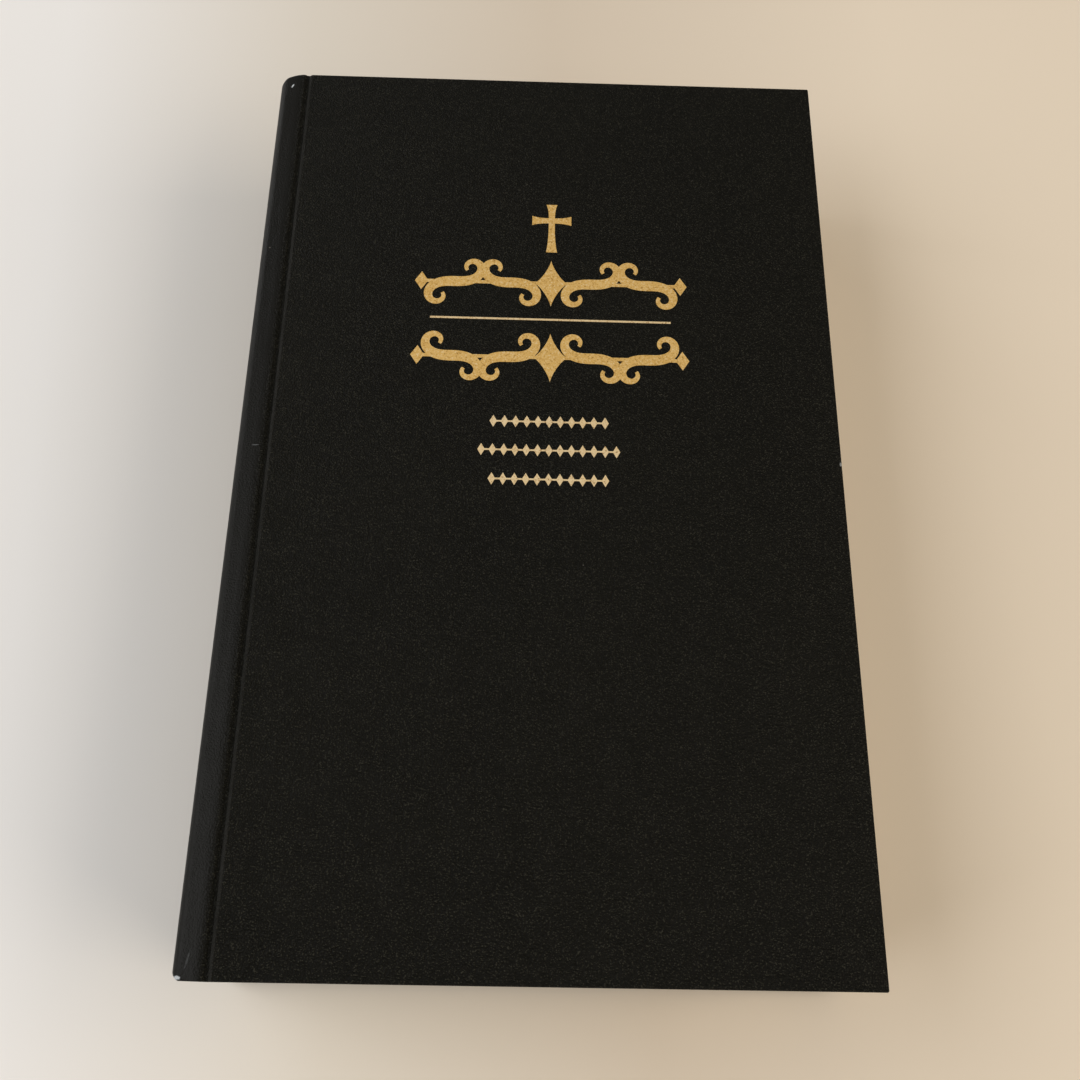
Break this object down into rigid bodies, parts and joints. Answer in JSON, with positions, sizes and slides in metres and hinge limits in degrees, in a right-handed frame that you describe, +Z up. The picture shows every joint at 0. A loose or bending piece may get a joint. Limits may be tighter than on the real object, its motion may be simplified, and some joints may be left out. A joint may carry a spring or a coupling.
{
  "type": "bible",
  "caption": "Black case-bound bible lying on its back cover; both covers and the outer leaves open about the spine grooves.",
  "frame": {"origin": "middle of the back cover's outer face, on the surface the book lies on", "axes": "+X from the spine to the fore-edge, +Y from the tail to the head, +Z up through the front cover"},
  "size_m": [0.138, 0.219, 0.0441],
  "materials": {
    "covering": "fine grained, satin",
    "board": "matte grey board",
    "endpaper": "matte",
    "pages": "matte thin leaves",
    "thread": "waxed thread",
    "band": "woven",
    "mull": "open weave",
    "lining": "kraft paper",
    "foil": "gold foil, slightly speckled"
  },
  "bodies": {
    "block": {"page_block": "pages", "spine_covering": "covering", "spine_inlay": "board", "spine_lining": "lining", "mull": "mull", "head_band": "band", "tail_band": "band", "sewing_thread_1": "thread", "sewing_thread_2": "thread", "sewing_thread_3": "thread", "sewing_thread_4": "thread", "sewing_thread_5": "thread"},
    "front_cover": {"front_covering": "covering", "front_board": "board", "front_pastedown": "endpaper", "foil_cross": "foil", "foil_band_upper": "foil", "foil_rule": "foil", "foil_band_lower": "foil", "foil_row_1": "foil", "foil_row_2": "foil", "foil_row_3": "foil"},
    "front_flyleaf_body": {"front_flyleaf": "endpaper"},
    "front_leaves_1_body": {"front_leaves_1": "pages"},
    "front_leaves_2_body": {"front_leaves_2": "pages"},
    "front_leaves_3_body": {"front_leaves_3": "pages"},
    "back_cover": {"back_covering": "covering", "back_board": "board", "rear_pastedown": "endpaper"},
    "rear_flyleaf_body": {"rear_flyleaf": "endpaper"},
    "rear_leaves_1_body": {"rear_leaves_1": "pages"},
    "rear_leaves_2_body": {"rear_leaves_2": "pages"},
    "rear_leaves_3_body": {"rear_leaves_3": "pages"}
  },
  "joints": [
    {"name": "front_cover_hinge", "type": "hinge", "parent": "block", "child": "front_cover", "pos_m": [-0.062, 0, 0.0443], "axis": [0, -1, 0], "range_deg": [0, 180]},
    {"name": "front_flyleaf_turn", "type": "hinge", "parent": "block", "child": "front_flyleaf_body", "pos_m": [-0.062, 0, 0.0443], "axis": [0, -1, 0], "range_deg": [0, 168]},
    {"name": "front_leaves_1_turn", "type": "hinge", "parent": "block", "child": "front_leaves_1_body", "pos_m": [-0.062, 0, 0.0443], "axis": [0, -1, 0], "range_deg": [0, 145]},
    {"name": "front_leaves_2_turn", "type": "hinge", "parent": "block", "child": "front_leaves_2_body", "pos_m": [-0.062, 0, 0.0443], "axis": [0, -1, 0], "range_deg": [0, 109]},
    {"name": "front_leaves_3_turn", "type": "hinge", "parent": "block", "child": "front_leaves_3_body", "pos_m": [-0.062, 0, 0.0443], "axis": [0, -1, 0], "range_deg": [0, 64]},
    {"name": "back_cover_hinge", "type": "hinge", "parent": "block", "child": "back_cover", "pos_m": [-0.062, 0, -0.0003], "axis": [0, 1, 0], "range_deg": [0, 180]},
    {"name": "rear_flyleaf_turn", "type": "hinge", "parent": "block", "child": "rear_flyleaf_body", "pos_m": [-0.062, 0, -0.0003], "axis": [0, 1, 0], "range_deg": [0, 168]},
    {"name": "rear_leaves_1_turn", "type": "hinge", "parent": "block", "child": "rear_leaves_1_body", "pos_m": [-0.062, 0, -0.0003], "axis": [0, 1, 0], "range_deg": [0, 145]},
    {"name": "rear_leaves_2_turn", "type": "hinge", "parent": "block", "child": "rear_leaves_2_body", "pos_m": [-0.062, 0, -0.0003], "axis": [0, 1, 0], "range_deg": [0, 109]},
    {"name": "rear_leaves_3_turn", "type": "hinge", "parent": "block", "child": "rear_leaves_3_body", "pos_m": [-0.062, 0, -0.0003], "axis": [0, 1, 0], "range_deg": [0, 64]}
  ],
  "couplings": [
    {"joint": "front_flyleaf_turn", "follows": "front_cover_hinge", "ratio": 0.93},
    {"joint": "front_leaves_1_turn", "follows": "front_cover_hinge", "ratio": 0.8},
    {"joint": "front_leaves_2_turn", "follows": "front_cover_hinge", "ratio": 0.6},
    {"joint": "front_leaves_3_turn", "follows": "front_cover_hinge", "ratio": 0.35},
    {"joint": "rear_flyleaf_turn", "follows": "back_cover_hinge", "ratio": 0.93},
    {"joint": "rear_leaves_1_turn", "follows": "back_cover_hinge", "ratio": 0.8},
    {"joint": "rear_leaves_2_turn", "follows": "back_cover_hinge", "ratio": 0.6},
    {"joint": "rear_leaves_3_turn", "follows": "back_cover_hinge", "ratio": 0.35}
  ]
}
